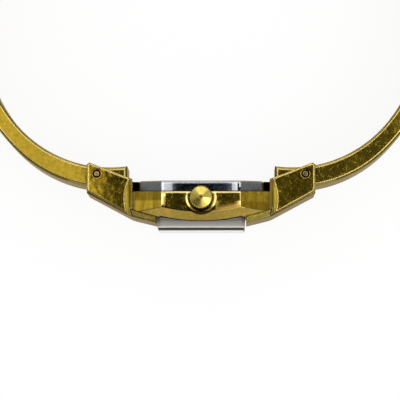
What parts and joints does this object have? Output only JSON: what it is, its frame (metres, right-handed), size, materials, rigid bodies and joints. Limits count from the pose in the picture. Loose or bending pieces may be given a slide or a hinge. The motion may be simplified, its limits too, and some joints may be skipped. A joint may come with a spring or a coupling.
{
  "type": "bangle watch",
  "caption": "Slim bangle watch: arched gold-plated case between two hooded hinges, rigid curved arms, bevelled square crystal, steel snap back and toothed crown.",
  "frame": {"origin": "where the stem's axis meets the flat nine o'clock side of the case, which lies on z = 0", "axes": "+X from the twelve o'clock hood to the six o'clock hood, +Y from the dial towards the wrist, +Z along the stem towards the crown"},
  "size_m": [0.0632, 0.0485, 0.0135],
  "materials": {
    "gold_case": "polished gold plate",
    "gold_cover": "polished gold plate",
    "gold_arm": "polished gold plate, lightly scratched",
    "gold_pin": "gold plate",
    "gold_crown": "turned gold plate",
    "gold_marker": "polished",
    "gold_hand": "polished",
    "polished_steel": "polished stainless steel",
    "gasket_rubber": "moulded",
    "crystal_glass": "bevelled mineral glass",
    "dial_paint": "satin lacquer",
    "movement_brass": "satin",
    "wheel_brass": "satin",
    "screw_steel": "bright steel",
    "ring_plastic": "moulded",
    "battery_steel": "satin",
    "board_laminate": "lacquered laminate",
    "soft_iron": "annealed",
    "copper_wire": "enamelled copper wire"
  },
  "bodies": {
    "case": {"mid_case": "gold_case", "left_hood_cover": "gold_cover", "right_hood_cover": "gold_cover", "left_hinge_pin": "gold_pin", "right_hinge_pin": "gold_pin", "caseback": "polished_steel", "caseback_gasket": "gasket_rubber", "crystal": "crystal_glass", "crystal_gasket": "gasket_rubber", "dial": "dial_paint", "dial_markers": "gold_marker", "main_plate": "movement_brass", "train_bridge": "movement_brass", "movement_screws": "screw_steel", "movement_ring": "ring_plastic", "battery": "battery_steel", "battery_clamp": "screw_steel", "circuit_board": "board_laminate", "quartz_can": "battery_steel", "stator": "soft_iron", "coil_core": "soft_iron", "coil_winding": "copper_wire", "crown_tube": "screw_steel"},
    "left_arm": {"left_arm": "gold_arm"},
    "right_arm": {"right_arm": "gold_arm"},
    "clutch": {"sliding_pinion": "screw_steel"},
    "crown": {"stem": "screw_steel", "crown": "gold_crown", "crown_gasket": "gasket_rubber"},
    "minute_arbor": {"centre_wheel": "wheel_brass", "cannon_pinion": "screw_steel", "minute_hand": "gold_hand"},
    "hour_pipe": {"hour_wheel": "wheel_brass", "hour_hand": "gold_hand"},
    "minute_wheel": {"minute_wheel": "wheel_brass"},
    "intermediate_wheel": {"intermediate_wheel": "wheel_brass"},
    "rotor": {"rotor": "soft_iron"}
  },
  "joints": [
    {"name": "left_arm_hinge", "type": "hinge", "parent": "case", "child": "left_arm", "pos_m": [-0.01373, 0.00312, 0.006], "axis": [0, 0, -1], "range_deg": [0, 18]},
    {"name": "right_arm_hinge", "type": "hinge", "parent": "case", "child": "right_arm", "pos_m": [0.01373, 0.00312, 0.006], "axis": [0, 0, 1], "range_deg": [0, 18]},
    {"name": "crown_turn", "type": "hinge", "parent": "case", "child": "clutch", "pos_m": [0, 0, 0.009], "axis": [0, 0, 1], "continuous": true},
    {"name": "crown_pull", "type": "slide", "parent": "clutch", "child": "crown", "axis": [0, 0, 1], "range_m": [0, 0.0006]},
    {"name": "minute_hand_turn", "type": "hinge", "parent": "case", "child": "minute_arbor", "pos_m": [0, 0, 0.006], "axis": [0, -1, 0], "continuous": true},
    {"name": "hour_hand_turn", "type": "hinge", "parent": "case", "child": "hour_pipe", "pos_m": [0, 0, 0.006], "axis": [0, -1, 0], "continuous": true},
    {"name": "minute_wheel_turn", "type": "hinge", "parent": "case", "child": "minute_wheel", "pos_m": [0.00047, 0, 0.00426], "axis": [0, -1, 0], "continuous": true},
    {"name": "intermediate_wheel_turn", "type": "hinge", "parent": "case", "child": "intermediate_wheel", "pos_m": [0.0015, 0, 0.00474], "axis": [0, -1, 0], "continuous": true},
    {"name": "rotor_turn", "type": "hinge", "parent": "case", "child": "rotor", "pos_m": [0.00329, 0, 0.00506], "axis": [0, -1, 0], "continuous": true}
  ],
  "couplings": [
    {"joint": "hour_hand_turn", "follows": "minute_hand_turn", "ratio": 0.083333},
    {"joint": "minute_wheel_turn", "follows": "minute_hand_turn", "ratio": -0.33333},
    {"joint": "intermediate_wheel_turn", "follows": "minute_hand_turn", "ratio": -6},
    {"joint": "rotor_turn", "follows": "minute_hand_turn", "ratio": 60}
  ]
}
